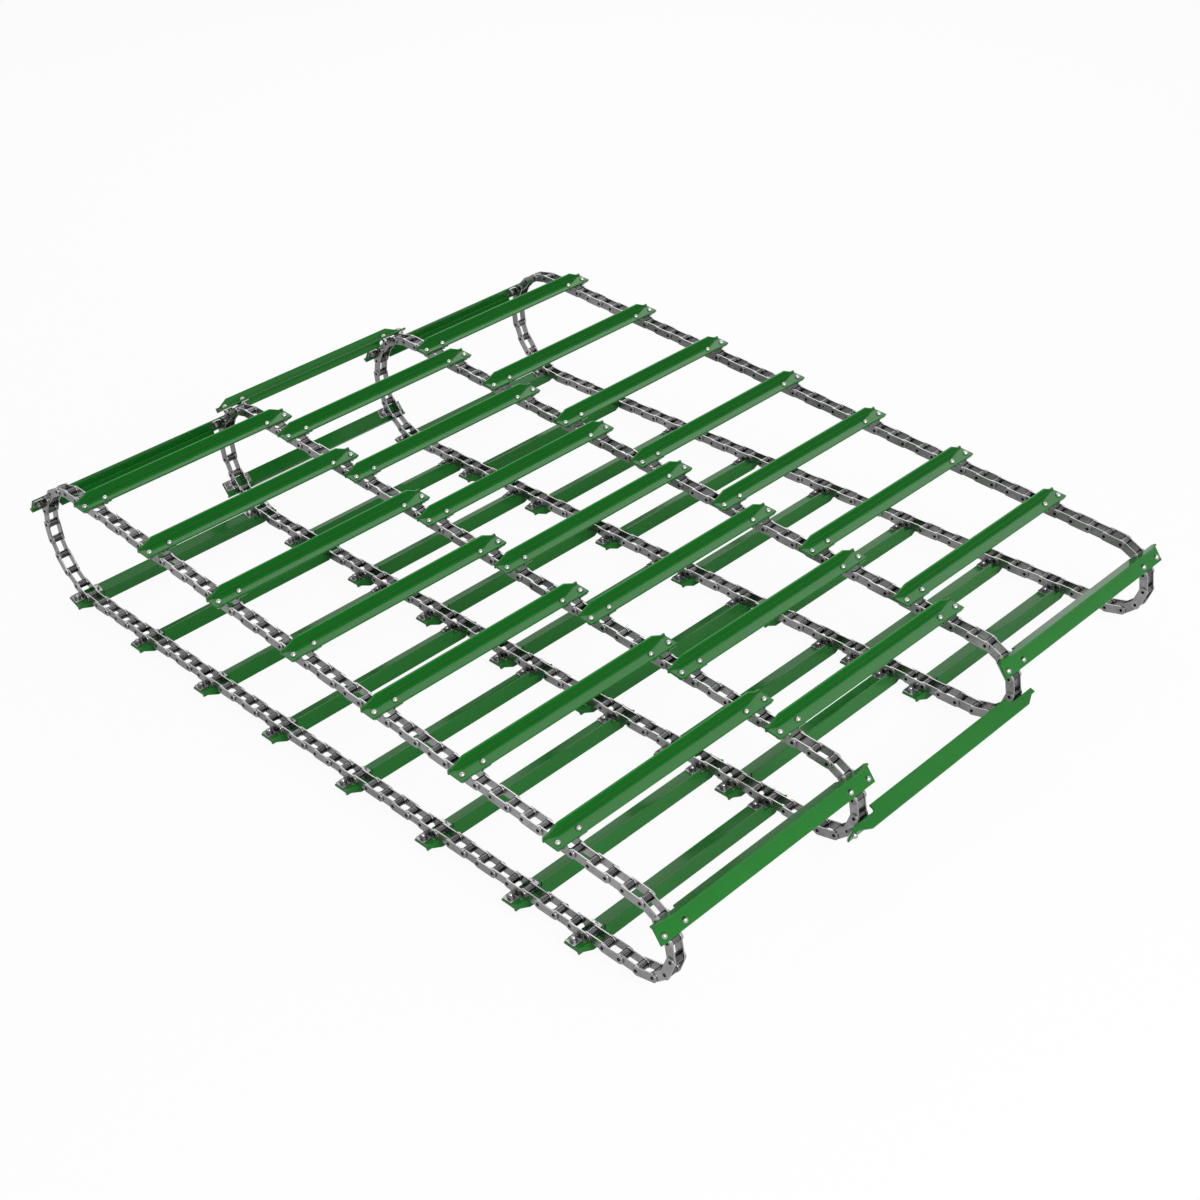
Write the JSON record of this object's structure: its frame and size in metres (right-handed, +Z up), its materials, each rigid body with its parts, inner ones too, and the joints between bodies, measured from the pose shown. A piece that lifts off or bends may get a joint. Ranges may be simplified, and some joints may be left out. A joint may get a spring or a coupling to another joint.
{
  "type": "slat conveyor chain",
  "caption": "Endless feeder house slat conveyor: parallel strands of roller chain joined by staggered rows of bolted green cross slats that drag crop along a floor.",
  "frame": {"origin": "under the middle of the loop, on the plane of the lower slats' edges", "axes": "+X along the lower run to the front drum end, +Y across the strands, +Z up"},
  "size_m": [2.0402, 1.5532, 0.36],
  "materials": {
    "slat_paint": "gloss green paint",
    "plate_steel": "heat-treated grey",
    "roller_steel": "turned satin",
    "bush_steel": "turned satin",
    "pin_steel": "dark oxide",
    "bolt_zinc": "bright zinc plate",
    "cotter_wire": "drawn wire"
  },
  "bodies": {
    "lower_run": {"lower_inner_plates": "plate_steel", "lower_bushes": "bush_steel", "lower_rollers": "roller_steel", "lower_outer_plates": "plate_steel", "lower_attachment_plates": "plate_steel", "lower_pins": "pin_steel", "lower_slats_row_1": "slat_paint", "lower_slats_row_2": "slat_paint", "lower_slats_row_3": "slat_paint", "lower_bolts": "bolt_zinc", "lower_nuts": "bolt_zinc", "connecting_pins": "pin_steel", "connecting_cotters": "cotter_wire"},
    "rear_wrap": {"rear_link_01": "plate_steel", "rear_link_02": "plate_steel", "rear_slats_02": "slat_paint", "rear_fasteners_02": "bolt_zinc", "rear_link_03": "plate_steel", "rear_link_04": "plate_steel", "rear_slats_04": "slat_paint", "rear_fasteners_04": "bolt_zinc", "rear_link_05": "plate_steel", "rear_link_06": "plate_steel", "rear_link_07": "plate_steel", "rear_link_08": "plate_steel", "rear_slats_08": "slat_paint", "rear_fasteners_08": "bolt_zinc", "rear_link_09": "plate_steel", "rear_link_10": "plate_steel", "rear_slats_10": "slat_paint", "rear_fasteners_10": "bolt_zinc", "rear_link_11": "plate_steel"},
    "upper_run": {"upper_inner_plates": "plate_steel", "upper_bushes": "bush_steel", "upper_rollers": "roller_steel", "upper_outer_plates": "plate_steel", "upper_attachment_plates": "plate_steel", "upper_pins": "pin_steel", "upper_slats_row_1": "slat_paint", "upper_slats_row_2": "slat_paint", "upper_slats_row_3": "slat_paint", "upper_bolts": "bolt_zinc", "upper_nuts": "bolt_zinc"},
    "front_link_01": {"front_link_01": "plate_steel"},
    "front_link_02": {"front_link_02": "plate_steel", "front_slats_02": "slat_paint", "front_fasteners_02": "bolt_zinc"},
    "front_link_03": {"front_link_03": "plate_steel"},
    "front_link_04": {"front_link_04": "plate_steel", "front_slats_04": "slat_paint", "front_fasteners_04": "bolt_zinc"},
    "front_link_05": {"front_link_05": "plate_steel"},
    "front_link_06": {"front_link_06": "plate_steel"},
    "front_rollers_01": {"front_rollers_01": "roller_steel"},
    "front_rollers_02": {"front_rollers_02": "roller_steel"},
    "front_rollers_03": {"front_rollers_03": "roller_steel"},
    "front_rollers_04": {"front_rollers_04": "roller_steel"},
    "front_rollers_05": {"front_rollers_05": "roller_steel"},
    "front_rollers_06": {"front_rollers_06": "roller_steel"}
  },
  "joints": [
    {"name": "rear_lower_pivot", "type": "hinge", "parent": "lower_run", "child": "rear_wrap", "pos_m": [-0.84052, 0, 0.0368], "axis": [0, -1, 0], "range_deg": [0, 5.03]},
    {"name": "rear_upper_pivot", "type": "hinge", "parent": "rear_wrap", "child": "upper_run", "pos_m": [-0.85832, 0, 0.32733], "axis": [0, -1, 0], "range_deg": [0, 15.53]},
    {"name": "front_pivot_01", "type": "hinge", "parent": "upper_run", "child": "front_link_01", "pos_m": [0.9178, 0, 0.20743], "axis": [0, -1, 0], "range_deg": [0, 23.44]},
    {"name": "front_pivot_02", "type": "hinge", "parent": "front_link_01", "child": "front_link_02", "pos_m": [0.95459, 0, 0.18844], "axis": [0, -1, 0], "range_deg": [0, 27.69]},
    {"name": "front_pivot_03", "type": "hinge", "parent": "front_link_02", "child": "front_link_03", "pos_m": [0.97834, 0, 0.15453], "axis": [0, -1, 0], "range_deg": [0, 27.69]},
    {"name": "front_pivot_04", "type": "hinge", "parent": "front_link_03", "child": "front_link_04", "pos_m": [0.98361, 0, 0.11347], "axis": [0, -1, 0], "range_deg": [0, 27.69]},
    {"name": "front_pivot_05", "type": "hinge", "parent": "front_link_04", "child": "front_link_05", "pos_m": [0.9692, 0, 0.07466], "axis": [0, -1, 0], "range_deg": [0, 27.69]},
    {"name": "front_pivot_06", "type": "hinge", "parent": "front_link_05", "child": "front_link_06", "pos_m": [0.9384, 0, 0.04699], "axis": [0, -1, 0], "range_deg": [0, 27.69]},
    {"name": "front_roller_spin_01", "type": "hinge", "parent": "front_link_01", "child": "front_rollers_01", "pos_m": [0.9178, 0, 0.20743], "axis": [0, 1, 0], "continuous": true},
    {"name": "front_roller_spin_02", "type": "hinge", "parent": "front_link_01", "child": "front_rollers_02", "pos_m": [0.95459, 0, 0.18844], "axis": [0, 1, 0], "continuous": true},
    {"name": "front_roller_spin_03", "type": "hinge", "parent": "front_link_03", "child": "front_rollers_03", "pos_m": [0.97834, 0, 0.15453], "axis": [0, 1, 0], "continuous": true},
    {"name": "front_roller_spin_04", "type": "hinge", "parent": "front_link_03", "child": "front_rollers_04", "pos_m": [0.98361, 0, 0.11347], "axis": [0, 1, 0], "continuous": true},
    {"name": "front_roller_spin_05", "type": "hinge", "parent": "front_link_05", "child": "front_rollers_05", "pos_m": [0.9692, 0, 0.07466], "axis": [0, 1, 0], "continuous": true},
    {"name": "front_roller_spin_06", "type": "hinge", "parent": "front_link_05", "child": "front_rollers_06", "pos_m": [0.9384, 0, 0.04699], "axis": [0, 1, 0], "continuous": true}
  ],
  "couplings": [
    {"joint": "front_pivot_01", "follows": "front_pivot_02", "ratio": 0.84642},
    {"joint": "front_pivot_03", "follows": "front_pivot_02", "ratio": 1},
    {"joint": "front_pivot_04", "follows": "front_pivot_02", "ratio": 1},
    {"joint": "front_pivot_05", "follows": "front_pivot_02", "ratio": 1},
    {"joint": "front_pivot_06", "follows": "front_pivot_02", "ratio": 1}
  ]
}
